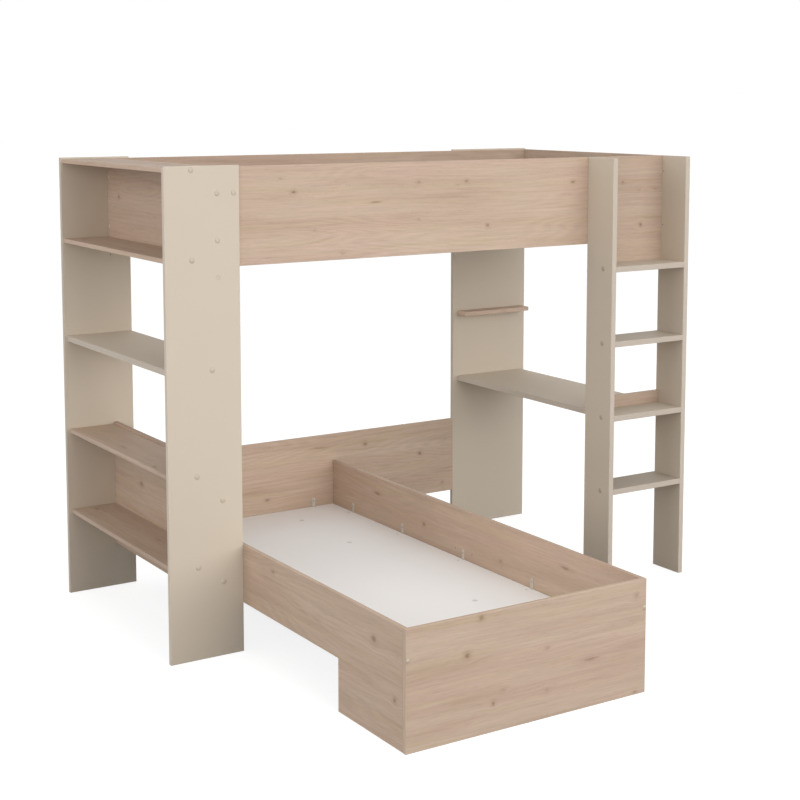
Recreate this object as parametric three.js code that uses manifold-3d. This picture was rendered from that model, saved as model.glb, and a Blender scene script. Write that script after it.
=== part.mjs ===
// Bunk bed in melamine-faced board, made of flat panels that bolt together.
// A loft bed stands on a storage tower at the left, a ladder at the front right and a post panel at the
// rear right, which also carries a desk top and a ledge. A second bed lies across underneath: its rails
// start at a panel between tower and post and its foot end stands on the floor.
// Millimetres. X runs along the loft from the tower to the ladder, Y from the foot of the lower bed to
// the rear, Z up. Places are worked out from the tower's left front foot, and the group moves the whole
// bed so that its origin is the middle of its footprint on the floor.

import * as THREE from 'three';
import { mergeVertices } from 'three/addons/utils/BufferGeometryUtils.js';
import loadKernel from 'manifold-3d';

// Mattresses and the room around them
const mattressLength = 2000;
const mattressWidth = 900;
const upperMattressRoom = 8;
const lowerMattressSideRoom = 4;

// Board thicknesses
const boardThickness = 16;
const panelThickness = 18;
const sideThickness = 22;
const edgeEase = 1;

// Heights of the standing panels and of the loft's rails
const panelHeight = 1718;
const railDrop = 5;
const railHeight = 345;

// Storage tower, whose shelves stand back a little from the open edges of its panels
const towerWidth = 280;
const shelfDepth = 182;
const upperShelfInset = 6;
const lowShelfInset = 14;
const middleShelfInset = 11;
const middleShelfSetback = 2;
const middleShelfBottom = 1005.5;
const upperShelfRise = 22.5;
const lowShelfTop = 659;
const bottomShelfTop = 338;
const backPanelLip = 8;
const backPanelBottom = 173;

// Post panel, ledge and ladder
const postWidth = 400;
const ladderInnerWidth = 354;
const ladderReach = 137;
const stepCount = 4;
const firstStepTop = 398;
const stepPitch = 297;
const deskStepCount = 2;
const ledgeStepCount = 3;
const ledgeDepth = 63;
const ledgeThickness = 18;
const deskRailHeight = 49;

// Lower bed
const lowerRailTop = 385;
const lowerRailBottom = 176;
const footReturn = 382;
const rearPanelBottom = 170;
const rearPanelHeight = 330;

// Mattress bases, their battens and brackets
const baseThickness = 10;
const baseSideGap = 1.5;
const battenThickness = 16;
const battenWidth = 60;
const upperBattenCount = 4;
const lowerBattenShares = [0.087, 0.281, 0.4965, 0.712, 0.9275];
const lowerBaseRise = 18.5;
const upperBaseRise = 29;
const bracketThickness = 3;
const bracketWidth = 14;
const bracketFoot = 36;
const bracketRise = 38;
const bracketFillet = 2;
const bracketEase = 0.5;
const bracketInset = 98;
const notchGap = 0.8;

// Bolts, their cover caps and the cams of the left end board
const boltRadius = 3.5;
const capRadius = 8;
const capSeat = 3;
const screwHeadRadius = 4.5;
const camRadius = 7.5;
const camDepth = 12.5;
const camInset = 17;
const shelfBoltReach = 94;
const middleShelfBoltReach = 159;
const railBoltInset = 21;
const spareBoreDrop = 33;
const railBoltShares = [0.275, 0.742];
const camShares = [0.234, 0.788];
const backPanelBoltShares = [0.187, 0.774];
const footBoltShare = 0.75;
const stepBoltShare = 0.35;
const postBoltInset = 60;
const drillOverrun = 2;
const boreSides = 8;
const capSides = 16;

// Facets of an eased edge and of a bracket's inner fillet
const easeSides = 1;
const filletSides = 3;

// Heights worked out from the sizes above
const railTop = panelHeight - railDrop;
const railBottom = railTop - railHeight;
const upperShelfBottom = railBottom + upperShelfRise;
const backPanelTop = lowShelfTop + backPanelLip;
const upperBaseTop = railBottom + upperBaseRise;
const lowerBaseTop = lowerRailBottom + lowerBaseRise;
const bracketSeat = bracketThickness + bracketFillet + notchGap;
const stepTop = (number) => firstStepTop + (number - 1) * stepPitch;
const deskTopHeight = stepTop(deskStepCount);
const ledgeTopHeight = stepTop(ledgeStepCount);

// Places along X
const endBoardLeft = upperShelfInset + shelfDepth;
const backPanelLeft = lowShelfInset + shelfDepth;
const upperLeft = endBoardLeft + boardThickness;
const upperRight = upperLeft + mattressLength + upperMattressRoom;
const overallLength = upperRight + boardThickness;
const postLeft = overallLength - postWidth;
const ladderRight = overallLength - sideThickness;
const ladderLeft = ladderRight - ladderInnerWidth;
const lowerLeft = towerWidth + boardThickness;
const lowerRight = lowerLeft + mattressWidth + lowerMattressSideRoom;

// Places along Y, from the front face of the tower
const railFront = panelThickness;
const upperFront = railFront + boardThickness;
const upperBack = upperFront + mattressWidth + upperMattressRoom;
const rearFace = upperBack + boardThickness;
const overallBack = rearFace + panelThickness;
const lowerFoot = rearFace - mattressLength;
const overallFront = lowerFoot - boardThickness;
const ladderFront = -ladderReach;

const kernel = await loadKernel();
kernel.setup();

const finishes = {
  beige: new THREE.MeshStandardMaterial({ color: 0xd8cbbb, roughness: 0.55, metalness: 0 }),
  oak: new THREE.MeshStandardMaterial({ color: 0xcdb49e, roughness: 0.6, metalness: 0 }),
  white: new THREE.MeshStandardMaterial({ color: 0xdcd9d6, roughness: 0.5, metalness: 0 }),
  plastic: new THREE.MeshStandardMaterial({ color: 0xe4e2dc, roughness: 0.4, metalness: 0 }),
};

// Turns that stand a sheet up: its outline lies in X and Y before the turn, its thickness in Z
const turns = {
  flat: new THREE.Euler(0, 0, 0),
  facingFront: new THREE.Euler(Math.PI / 2, 0, 0),
  facingSide: new THREE.Euler(Math.PI / 2, Math.PI / 2, 0),
};

function solidFrom(geometry) {
  const bare = geometry.clone();
  bare.deleteAttribute('normal');
  bare.deleteAttribute('uv');
  const merged = mergeVertices(bare);
  const vertProperties = new Float32Array(merged.attributes.position.array);
  const triVerts = new Uint32Array(merged.index.array);
  return new kernel.Manifold(new kernel.Mesh({ numProp: 3, vertProperties, triVerts }));
}

function geometryFrom(solid) {
  const { vertProperties, triVerts } = solid.getMesh();
  const geometry = new THREE.BufferGeometry();
  geometry.setAttribute('position', new THREE.BufferAttribute(vertProperties, 3));
  geometry.setIndex(new THREE.BufferAttribute(triVerts, 1));
  geometry.computeVertexNormals();
  return geometry;
}

function outlineOf(points) {
  return new THREE.Shape(points.map(([x, y]) => new THREE.Vector2(x, y)));
}

function rectangle(width, height) {
  return outlineOf([[0, 0], [width, 0], [width, height], [0, height]]);
}

// A sheet with eased edges, from z = 0 to its thickness
function sheet(outline, thickness, ease = edgeEase) {
  const geometry = new THREE.ExtrudeGeometry(outline, {
    depth: thickness - 2 * ease,
    bevelThickness: ease,
    bevelSize: ease,
    bevelOffset: -ease,
    bevelSegments: easeSides,
    curveSegments: filletSides,
  });
  return geometry.translate(0, 0, ease);
}

// A round cutter along z between two depths of a sheet
function cutter(x, y, from, to, radius, sides) {
  const geometry = new THREE.CylinderGeometry(radius, radius, to - from, sides);
  return geometry.rotateX(Math.PI / 2).translate(x, y, (from + to) / 2);
}

// A bolt bore right through a sheet, with a seat for its head or cover cap in one face or none
function boltBore(x, y, thickness, capFace = 'none', seatRadius = capRadius) {
  const cuts = [cutter(x, y, -drillOverrun, thickness + drillOverrun, boltRadius, boreSides)];
  if (capFace === 'far') {
    cuts.push(cutter(x, y, thickness - capSeat, thickness + drillOverrun, seatRadius, capSides));
  }
  if (capFace === 'near') {
    cuts.push(cutter(x, y, -drillOverrun, capSeat, seatRadius, capSides));
  }
  return cuts;
}

function drilled(geometry, cuts) {
  if (cuts.length === 0) {
    return geometry;
  }
  const body = cuts.reduce((rest, cut) => rest.subtract(solidFrom(cut)), solidFrom(geometry));
  return geometryFrom(body);
}

function place(group, name, geometry, finish, turn, [x, y, z]) {
  const mesh = new THREE.Mesh(geometry, finish);
  mesh.name = name;
  mesh.rotation.copy(turn);
  mesh.position.set(x, y, z);
  group.add(mesh);
  return mesh;
}

// A board that faces the front: spans X and Z, its back face at y
function frontBoard(group, name, finish, { x, width, z, height, back, thickness, cuts = [] }) {
  const geometry = drilled(sheet(rectangle(width, height), thickness), cuts);
  return place(group, name, geometry, finish, turns.facingFront, [x, back, z]);
}

// A board that faces sideways: spans Y and Z, its left face at x
function sideBoard(group, name, finish, { x, thickness, y, depth, z, height, cuts = [] }) {
  const geometry = drilled(sheet(rectangle(depth, height), thickness), cuts);
  return place(group, name, geometry, finish, turns.facingSide, [x, y, z]);
}

// A board that lies flat: spans X and Y, its top face at the given height
function flatBoard(group, name, finish, { x, width, y, depth, top, thickness }) {
  const geometry = sheet(rectangle(width, depth), thickness);
  return place(group, name, geometry, finish, turns.flat, [x, y, top - thickness]);
}

// Storage tower

function towerPanelCuts(capFace) {
  const endBoardCentre = endBoardLeft + boardThickness / 2;
  const backPanelCentre = backPanelLeft + boardThickness / 2;
  const bolts = [
    [upperShelfInset + shelfBoltReach, railTop - boardThickness / 2],
    [upperShelfInset + shelfBoltReach, upperShelfBottom + boardThickness / 2],
    [middleShelfInset + middleShelfBoltReach, middleShelfBottom + sideThickness / 2],
    [lowShelfInset + shelfBoltReach, lowShelfTop - boardThickness / 2],
    [lowShelfInset + shelfBoltReach, bottomShelfTop - boardThickness / 2],
    [towerWidth - railBoltInset, railTop - railHeight * (1 - railBoltShares[1])],
    [endBoardCentre, railBottom - spareBoreDrop],
  ];
  for (const share of railBoltShares) {
    bolts.push([endBoardCentre, railBottom + railHeight * share]);
  }
  for (const share of backPanelBoltShares) {
    bolts.push([backPanelCentre, backPanelBottom + (backPanelTop - backPanelBottom) * share]);
  }
  return bolts.flatMap(([x, z]) => boltBore(x, z, panelThickness, capFace));
}

function addTower(bed) {
  const tower = new THREE.Group();
  const panel = { x: 0, width: towerWidth, z: 0, height: panelHeight, thickness: panelThickness };
  frontBoard(tower, 'tower_front_panel', finishes.beige, {
    ...panel, back: panelThickness, cuts: towerPanelCuts('far'),
  });
  frontBoard(tower, 'tower_back_panel', finishes.beige, {
    ...panel, back: overallBack, cuts: towerPanelCuts('near'),
  });

  const between = { y: panelThickness, depth: rearFace - panelThickness };
  const upperPair = { ...between, x: upperShelfInset, width: shelfDepth, thickness: boardThickness };
  const lowPair = { ...upperPair, x: lowShelfInset };
  flatBoard(tower, 'tower_top_shelf', finishes.oak, { ...upperPair, top: railTop });
  flatBoard(tower, 'tower_upper_shelf', finishes.oak, {
    ...upperPair, top: upperShelfBottom + boardThickness,
  });
  flatBoard(tower, 'tower_middle_shelf', finishes.beige, {
    ...between,
    x: middleShelfInset,
    width: towerWidth - middleShelfInset - middleShelfSetback,
    top: middleShelfBottom + sideThickness,
    thickness: sideThickness,
  });
  flatBoard(tower, 'tower_low_shelf', finishes.oak, { ...lowPair, top: lowShelfTop });
  flatBoard(tower, 'tower_bottom_shelf', finishes.oak, { ...lowPair, top: bottomShelfTop });
  sideBoard(tower, 'tower_lower_back_panel', finishes.oak, {
    ...between,
    x: backPanelLeft,
    thickness: boardThickness,
    z: backPanelBottom,
    height: backPanelTop - backPanelBottom,
  });
  bed.add(tower);
}

// Mattress bases: a white sheet on cross battens, which stand on plastic angle brackets

// Side view of a bracket: the leg stands at x = 0 and the foot runs out along x at the bottom
function bracketGeometry(legHeight) {
  const profile = new THREE.Shape();
  const inner = bracketThickness + bracketFillet;
  profile.moveTo(0, 0);
  profile.lineTo(bracketFoot, 0);
  profile.lineTo(bracketFoot, bracketThickness);
  profile.lineTo(inner, bracketThickness);
  profile.absarc(inner, inner, bracketFillet, -Math.PI / 2, -Math.PI, true);
  profile.lineTo(bracketThickness, legHeight);
  profile.lineTo(0, legHeight);
  return sheet(profile, bracketWidth, bracketEase).translate(0, 0, -bracketWidth / 2);
}

// A bracket stood up with its leg on a board: heading turns the foot, 0 along +X, a quarter turn to +Y
function addBracket(group, name, footBottom, baseTop, heading, x, y) {
  const stand = new THREE.Group();
  stand.position.set(x, y, footBottom);
  stand.rotation.z = heading;
  const geometry = bracketGeometry(baseTop + bracketRise - footBottom);
  place(stand, name, geometry, finishes.plastic, turns.facingFront, [0, 0, 0]);
  group.add(stand);
}

// Points along one side of a base, from 0 to its length, stepping in round each bracket leg
function notchedSide(length, centres) {
  const half = bracketWidth / 2 + notchGap;
  const inward = bracketSeat - baseSideGap;
  const points = [[0, 0]];
  for (const centre of centres) {
    points.push([centre - half, 0], [centre - half, inward], [centre + half, inward], [centre + half, 0]);
  }
  return [...points, [length, 0]];
}

// Outline of a base that is long in X, with notches in its two long sides and its two ends
function baseOutline(length, width, sideCentres, endCentres) {
  const near = notchedSide(length, sideCentres).slice(0, -1);
  const right = notchedSide(width, endCentres)
    .slice(0, -1)
    .map(([along, inward]) => [length - inward, along]);
  const far = notchedSide(length, sideCentres.map((centre) => length - centre).reverse())
    .slice(0, -1)
    .map(([along, inward]) => [length - along, width - inward]);
  const left = notchedSide(width, endCentres.map((centre) => width - centre).reverse())
    .slice(0, -1)
    .map(([along, inward]) => [inward, width - along]);
  return outlineOf([...near, ...right, ...far, ...left]);
}

// One mattress base in its own frame: x along the bed from one inner end to the other, y across it
function addBase(bed, prefix, { length, width, baseTop, battenPlaces, endPlaces, position, heading }) {
  const frame = new THREE.Group();
  frame.position.set(...position);
  frame.rotation.z = heading;
  const baseBottom = baseTop - baseThickness;
  const battenBottom = baseBottom - battenThickness;
  const toSheet = (places) => places.map((middle) => middle - baseSideGap);
  const outline = baseOutline(
    length - 2 * baseSideGap,
    width - 2 * baseSideGap,
    toSheet(battenPlaces),
    toSheet(endPlaces),
  );
  const base = sheet(outline, baseThickness);
  place(frame, `${prefix}_mattress_base`, base, finishes.white, turns.flat, [
    baseSideGap, baseSideGap, baseBottom,
  ]);

  battenPlaces.forEach((along, index) => {
    const number = index + 1;
    flatBoard(frame, `${prefix}_batten_${number}`, finishes.white, {
      x: along - battenWidth / 2,
      width: battenWidth,
      y: bracketSeat,
      depth: width - 2 * bracketSeat,
      top: baseBottom,
      thickness: battenThickness,
    });
    const footBottom = battenBottom - bracketThickness;
    addBracket(frame, `${prefix}_bracket_a${number}`, footBottom, baseTop, Math.PI / 2, along, 0);
    addBracket(frame, `${prefix}_bracket_b${number}`, footBottom, baseTop, -Math.PI / 2, along, width);
  });
  endPlaces.forEach((across, index) => {
    const number = index + 1;
    const footBottom = baseBottom - bracketThickness;
    addBracket(frame, `${prefix}_end_bracket_a${number}`, footBottom, baseTop, 0, 0, across);
    addBracket(frame, `${prefix}_end_bracket_b${number}`, footBottom, baseTop, Math.PI, length, across);
  });
  bed.add(frame);
}

// Loft bed

function addUpperBed(bed) {
  const loft = new THREE.Group();
  const railLength = upperRight - upperLeft;
  const boltHeight = railHeight * railBoltShares[1];
  const towerBolt = towerWidth - railBoltInset - upperLeft;
  const postBoltLeft = postLeft + postBoltInset - upperLeft;
  const postBolts = railBoltShares.map((share) => [postBoltLeft, railHeight * share]);
  const rail = { x: upperLeft, width: railLength, z: railBottom, height: railHeight };
  frontBoard(loft, 'upper_front_rail', finishes.oak, {
    ...rail,
    back: upperFront,
    thickness: boardThickness,
    cuts: boltBore(towerBolt, boltHeight, boardThickness),
  });
  frontBoard(loft, 'upper_back_rail', finishes.oak, {
    ...rail,
    back: rearFace,
    thickness: boardThickness,
    cuts: [[towerBolt, boltHeight], ...postBolts].flatMap(([x, z]) => boltBore(x, z, boardThickness)),
  });

  const endBoard = {
    thickness: boardThickness, y: railFront, depth: rearFace - railFront, z: railBottom, height: railHeight,
  };
  const cams = camShares.map((share) => cutter(
    rearFace - railFront - camInset, railHeight * share, -drillOverrun, camDepth, camRadius, capSides,
  ));
  sideBoard(loft, 'upper_left_end_board', finishes.oak, { ...endBoard, x: endBoardLeft, cuts: cams });
  sideBoard(loft, 'upper_right_end_board', finishes.oak, { ...endBoard, x: upperRight });

  const battenPlaces = Array.from({ length: upperBattenCount }, (_, index) => (
    railLength * (index + 1 / 2) / upperBattenCount
  ));
  addBase(loft, 'upper', {
    length: railLength,
    width: upperBack - upperFront,
    baseTop: upperBaseTop,
    battenPlaces,
    endPlaces: [],
    position: [upperLeft, upperFront, 0],
    heading: 0,
  });
  bed.add(loft);
}

// Post panel, desk top and ledge

function addDeskCorner(bed) {
  const corner = new THREE.Group();
  const shelfBolts = [ladderLeft, ladderRight].flatMap((edge, index) => {
    const x = edge + (index === 0 ? postBoltInset : -postBoltInset) - postLeft;
    return [[x, deskTopHeight - sideThickness / 2], [x, ledgeTopHeight - ledgeThickness / 2]];
  });
  const railBolts = railBoltShares.map((share) => [postBoltInset, railBottom + railHeight * share]);
  frontBoard(corner, 'rear_post_panel', finishes.beige, {
    x: postLeft,
    width: postWidth,
    z: 0,
    height: panelHeight,
    back: overallBack,
    thickness: panelThickness,
    cuts: [...shelfBolts, ...railBolts].flatMap(([x, z]) => boltBore(x, z, panelThickness, 'near')),
  });
  flatBoard(corner, 'desk_top', finishes.beige, {
    x: ladderLeft,
    width: ladderInnerWidth,
    y: railFront,
    depth: rearFace - railFront,
    top: deskTopHeight,
    thickness: sideThickness,
  });
  flatBoard(corner, 'ledge_shelf', finishes.oak, {
    x: ladderLeft,
    width: ladderInnerWidth,
    y: rearFace - ledgeDepth,
    depth: ledgeDepth,
    top: ledgeTopHeight,
    thickness: ledgeThickness,
  });
  bed.add(corner);
}

// Ladder

function addLadder(bed) {
  const ladder = new THREE.Group();
  const depth = railFront - ladderFront;
  const stepNumbers = Array.from({ length: stepCount }, (_, index) => index + 1);
  const backBoardBottom = stepTop(stepCount);
  const backBoardHeight = railTop - backBoardBottom;
  const stepBolts = stepNumbers.map((number) => [
    depth * stepBoltShare, stepTop(number) - sideThickness / 2,
  ]);
  const sideCuts = (headFace) => stepBolts.flatMap(([y, z]) => (
    boltBore(y, z, sideThickness, headFace, screwHeadRadius)
  ));
  const side = { thickness: sideThickness, y: ladderFront, depth, z: 0, height: railTop };
  sideBoard(ladder, 'ladder_left_side', finishes.beige, {
    ...side, x: ladderLeft - sideThickness, cuts: sideCuts('near'),
  });
  sideBoard(ladder, 'ladder_right_side', finishes.beige, { ...side, x: ladderRight, cuts: sideCuts('far') });
  for (const number of stepNumbers) {
    flatBoard(ladder, `ladder_step_${number}`, finishes.beige, {
      x: ladderLeft,
      width: ladderInnerWidth,
      y: ladderFront,
      depth,
      top: stepTop(number),
      thickness: sideThickness,
    });
  }
  const acrossLadder = {
    x: ladderLeft, width: ladderInnerWidth, back: railFront, thickness: boardThickness,
  };
  frontBoard(ladder, 'ladder_back_board', finishes.oak, {
    ...acrossLadder, z: backBoardBottom, height: backBoardHeight,
  });
  frontBoard(ladder, 'ladder_desk_rail', finishes.oak, {
    ...acrossLadder, z: deskTopHeight, height: deskRailHeight,
  });
  bed.add(ladder);
}

// Lower bed

// Side view of a lower rail from its rear end: a long board that comes down to the floor at the foot end
function railOutline() {
  const length = rearFace - lowerFoot;
  return outlineOf([
    [0, 0], [footReturn, 0], [footReturn, lowerRailBottom],
    [length, lowerRailBottom], [length, lowerRailTop], [0, lowerRailTop],
  ]);
}

function addLowerBed(bed) {
  const lower = new THREE.Group();
  const railNames = [['lower_left_rail', towerWidth], ['lower_right_rail', lowerRight]];
  for (const [name, x] of railNames) {
    const geometry = sheet(railOutline(), boardThickness);
    place(lower, name, geometry, finishes.oak, turns.facingSide, [x, lowerFoot, 0]);
  }

  const bedWidth = lowerRight + boardThickness - towerWidth;
  const boltHeight = lowerRailTop * footBoltShare;
  frontBoard(lower, 'lower_foot_panel', finishes.oak, {
    x: towerWidth,
    width: bedWidth,
    z: 0,
    height: lowerRailTop,
    back: lowerFoot,
    thickness: boardThickness,
    cuts: [boardThickness / 2, bedWidth - boardThickness / 2].flatMap((x) => (
      boltBore(x, boltHeight, boardThickness)
    )),
  });

  const railMiddle = (lowerRailTop + lowerRailBottom) / 2 - rearPanelBottom;
  frontBoard(lower, 'lower_rear_panel', finishes.oak, {
    x: towerWidth,
    width: postLeft - towerWidth,
    z: rearPanelBottom,
    height: rearPanelHeight,
    back: rearFace + boardThickness,
    thickness: boardThickness,
    cuts: [boardThickness / 2, bedWidth - boardThickness / 2].flatMap((x) => (
      boltBore(x, railMiddle, boardThickness)
    )),
  });

  const innerLength = rearFace - lowerFoot;
  const innerWidth = lowerRight - lowerLeft;
  addBase(lower, 'lower', {
    length: innerLength,
    width: innerWidth,
    baseTop: lowerBaseTop,
    battenPlaces: lowerBattenShares.map((share) => innerLength * share),
    endPlaces: [bracketInset, innerWidth - bracketInset],
    position: [lowerLeft, rearFace, 0],
    heading: -Math.PI / 2,
  });
  bed.add(lower);
}

const bunkBed = new THREE.Group();
bunkBed.position.set(-overallLength / 2, -(overallBack + overallFront) / 2, 0);
addTower(bunkBed);
addUpperBed(bunkBed);
addDeskCorner(bunkBed);
addLadder(bunkBed);
addLowerBed(bunkBed);

export default bunkBed;
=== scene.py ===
"""Look of a melamine bunk bed: the finishes of its boards, and the small fittings in and on them.

All lengths are metres in the row frame: X runs along the loft from the shelf tower to the ladder, Y from
the foot of the lower bed to the rear, and Z up from the floor. The boards, battens and brackets come with
the frame and are only dressed here. Cover caps, plugs, cam covers and screw heads are built here, seated in
the boards' bores or on their faces.
"""

import logging
import math
import random
from dataclasses import dataclass
from enum import Enum
from functools import cache

import bmesh
import bpy
from mathutils import Matrix, Vector


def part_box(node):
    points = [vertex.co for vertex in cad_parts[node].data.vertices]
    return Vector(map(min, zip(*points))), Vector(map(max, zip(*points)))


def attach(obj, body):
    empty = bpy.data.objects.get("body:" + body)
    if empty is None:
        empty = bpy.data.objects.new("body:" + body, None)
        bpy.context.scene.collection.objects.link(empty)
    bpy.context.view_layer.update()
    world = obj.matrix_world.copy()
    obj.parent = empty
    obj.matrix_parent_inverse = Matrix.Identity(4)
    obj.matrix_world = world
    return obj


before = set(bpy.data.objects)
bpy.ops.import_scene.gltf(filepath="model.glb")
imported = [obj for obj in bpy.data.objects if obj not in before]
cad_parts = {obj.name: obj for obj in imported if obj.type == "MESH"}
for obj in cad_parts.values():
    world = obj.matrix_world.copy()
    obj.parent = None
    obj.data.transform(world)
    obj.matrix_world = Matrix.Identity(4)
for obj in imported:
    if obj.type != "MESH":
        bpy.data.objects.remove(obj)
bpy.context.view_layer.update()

log = logging.getLogger("bunk_bed")

Colour = tuple[float, float, float, float]
Socket = bpy.types.NodeSocket

CAP_RADIUS = 0.0100
CAP_CROWN = 0.0034
RAIL_BOLT_SHARES = (0.275, 0.742)
WHITE_LIGHT = (1.0, 1.0, 1.0, 1.0)


class Axis(Enum):
    """The three directions of the row frame."""

    X = 0
    Y = 1
    Z = 2

    def across(self, other: "Axis") -> "Axis":
        """The direction that is neither this one nor the other."""
        return Axis(3 - self.value - other.value)


class Facing(Enum):
    """The way that a face of a board looks."""

    FRONT = (0.0, -1.0, 0.0)
    REAR = (0.0, 1.0, 0.0)
    LEFT = (-1.0, 0.0, 0.0)
    RIGHT = (1.0, 0.0, 0.0)
    UP = (0.0, 0.0, 1.0)

    def turn(self) -> Matrix:
        """The rotation that brings +Z round to this direction."""
        return Vector((0.0, 0.0, 1.0)).rotation_difference(Vector(self.value)).to_matrix().to_4x4()


def colour_of(red: int, green: int, blue: int) -> Colour:
    """Turns a colour as it is written for a screen, by the usual screen curve, into light values.

    Args:
        red: red from 0 to 255.
        green: green from 0 to 255.
        blue: blue from 0 to 255.

    Returns:
        The colour in linear light, with full alpha.
    """
    shares = [channel / 255 for channel in (red, green, blue)]
    linear = [s / 12.92 if s <= 0.04045 else ((s + 0.055) / 1.055) ** 2.4 for s in shares]
    return (linear[0], linear[1], linear[2], 1.0)


def grey_of(share: float) -> Colour:
    """A grey of a share of full light."""
    return (share, share, share, 1.0)


def middle_of(node: str) -> Vector:
    """The middle of a board's box."""
    low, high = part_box(node)
    return (low + high) / 2


def level_in(node: str, share: float) -> float:
    """The height at a share of the way up a board."""
    low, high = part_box(node)
    return low.z + (high.z - low.z) * share


def add_object(name: str, data: bpy.types.ID) -> bpy.types.Object:
    """Puts a new object in the scene.

    Args:
        name: the object's name.
        data: its mesh, camera or lamp.

    Returns:
        The object.
    """
    piece = bpy.data.objects.new(name, data)
    bpy.context.scene.collection.objects.link(piece)
    return piece


def add_mesh(name: str, mesh: bmesh.types.BMesh, material: bpy.types.Material) -> bpy.types.Object:
    """Puts built faces in the scene as a new object, and frees them.

    Args:
        name: the object's name.
        mesh: the faces.
        material: their one material.

    Returns:
        The object.
    """
    data = bpy.data.meshes.new(name)
    mesh.to_mesh(data)
    mesh.free()
    data.materials.append(material)
    return add_object(name, data)


class NodeGraph:
    """Adds nodes to one node tree and joins their sockets."""

    def __init__(self, tree: bpy.types.NodeTree) -> None:
        """Works on the given tree."""
        self.tree = tree

    def fill(self, node: bpy.types.Node, inputs: dict) -> None:
        """Links or sets a node's inputs.

        Args:
            node: the node.
            inputs: an output socket, or a plain number, colour or vector, by input name or number.
        """
        for key, value in inputs.items():
            if isinstance(value, Socket):
                self.tree.links.new(value, node.inputs[key])
            else:
                node.inputs[key].default_value = value

    def add(self, kind: str, inputs: dict | None = None, **settings: object) -> bpy.types.Node:
        """Adds a node.

        Args:
            kind: the node's type name.
            inputs: values or output sockets by input name or number.
            **settings: the node's own settings.

        Returns:
            The new node.
        """
        node = self.tree.nodes.new(kind)
        for name, value in settings.items():
            setattr(node, name, value)
        self.fill(node, inputs or {})
        return node

    def math(self, operation: str, *values: object) -> Socket:
        """The result of one sum on numbers."""
        return self.add("ShaderNodeMath", dict(enumerate(values)), operation=operation).outputs[0]

    def vector(self, operation: str, *values: object) -> Socket:
        """The vector result of one sum on vectors."""
        return self.add("ShaderNodeVectorMath", dict(enumerate(values)), operation=operation).outputs[0]

    def length(self, value: object) -> Socket:
        """The length of a vector."""
        return self.add("ShaderNodeVectorMath", {0: value}, operation="LENGTH").outputs["Value"]

    def joined(self, x: object, y: object, z: object) -> Socket:
        """The vector of three numbers."""
        return self.add("ShaderNodeCombineXYZ", {0: x, 1: y, 2: z}).outputs[0]

    def split(self, value: object) -> tuple[Socket, Socket, Socket]:
        """The three numbers of a vector."""
        return tuple(self.add("ShaderNodeSeparateXYZ", {0: value}).outputs)

    def spot(self) -> Socket:
        """The place of a point in the row frame."""
        return self.add("ShaderNodeTexCoord").outputs["Object"]

    def outward(self) -> tuple[Socket, Socket, Socket]:
        """The way that the surface looks, as three numbers."""
        return self.split(self.add("ShaderNodeNewGeometry").outputs["Normal"])

    def between(
        self, value: object, low: float, high: float, start: float = 0.0, end: float = 1.0
    ) -> Socket:
        """Carries a value smoothly from one range to another.

        Args:
            value: the number to carry over.
            low: where the first range begins.
            high: where the first range ends.
            start: the result at low.
            end: the result at high.

        Returns:
            The output socket, held within start and end.
        """
        inputs = {"Value": value, "From Min": low, "From Max": high, "To Min": start, "To Max": end}
        return self.add("ShaderNodeMapRange", inputs, interpolation_type="SMOOTHSTEP").outputs[0]

    def blend(self, share: object, first: object, second: object, mode: str = "MIX") -> Socket:
        """Blends two colours.

        Args:
            share: how much of the second colour, from 0 to 1.
            first: the first colour.
            second: the second colour.
            mode: the blend mode.

        Returns:
            The blended colour's socket.
        """
        inputs = {0: share, 6: first, 7: second}
        return self.add("ShaderNodeMix", inputs, data_type="RGBA", blend_type=mode).outputs[2]

    def shaded(self, colour: object, shade: object) -> Socket:
        """A colour times a shade."""
        return self.blend(1.0, colour, self.joined(shade, shade, shade), "MULTIPLY")

    def ramp(self, value: object, stops: list[tuple[float, Colour]]) -> Socket:
        """A colour read from a row of stops.

        Args:
            value: the place in the row, from 0 to 1.
            stops: places and their colours.

        Returns:
            The colour's socket.
        """
        node = self.add("ShaderNodeValToRGB", {0: value})
        elements = node.color_ramp.elements
        while len(elements) < len(stops):
            elements.new(1.0)
        for element, (place, colour) in zip(elements, stops, strict=True):
            element.position = place
            element.color = colour
        return node.outputs[0]

    def bump(
        self, height: object, distance: float, strength: float = 1.0, normal: Socket | None = None
    ) -> Socket:
        """A normal that follows a height.

        Args:
            height: the height, as a share of the distance.
            distance: how far a height of 1 stands out.
            strength: how much of the height shows.
            normal: the normal to start from, if it isn't the mesh's own.

        Returns:
            The normal's socket.
        """
        inputs = {"Height": height, "Distance": distance, "Strength": strength}
        if normal is not None:
            inputs["Normal"] = normal
        return self.add("ShaderNodeBump", inputs).outputs[0]


def empty_graph(owner: bpy.types.Material | bpy.types.World) -> NodeGraph:
    """Clears the nodes of a material or a world.

    Args:
        owner: the material or the world.

    Returns:
        Its empty graph.
    """
    owner.use_nodes = True
    owner.node_tree.nodes.clear()
    return NodeGraph(owner.node_tree)


def new_group(
    name: str, inputs: dict[str, str], outputs: dict[str, str]
) -> tuple[bpy.types.NodeTree, NodeGraph, bpy.types.Node, bpy.types.Node]:
    """Starts a node group.

    Args:
        name: the group's name.
        inputs: socket kinds by input name.
        outputs: socket kinds by output name.

    Returns:
        The group, its graph, its input node and its output node.
    """
    tree = bpy.data.node_groups.new(name, "ShaderNodeTree")
    for way, sockets in (("INPUT", inputs), ("OUTPUT", outputs)):
        for socket_name, kind in sockets.items():
            tree.interface.new_socket(name=socket_name, in_out=way, socket_type=f"NodeSocket{kind}")
    graph = NodeGraph(tree)
    return tree, graph, graph.add("NodeGroupInput"), graph.add("NodeGroupOutput")


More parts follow.
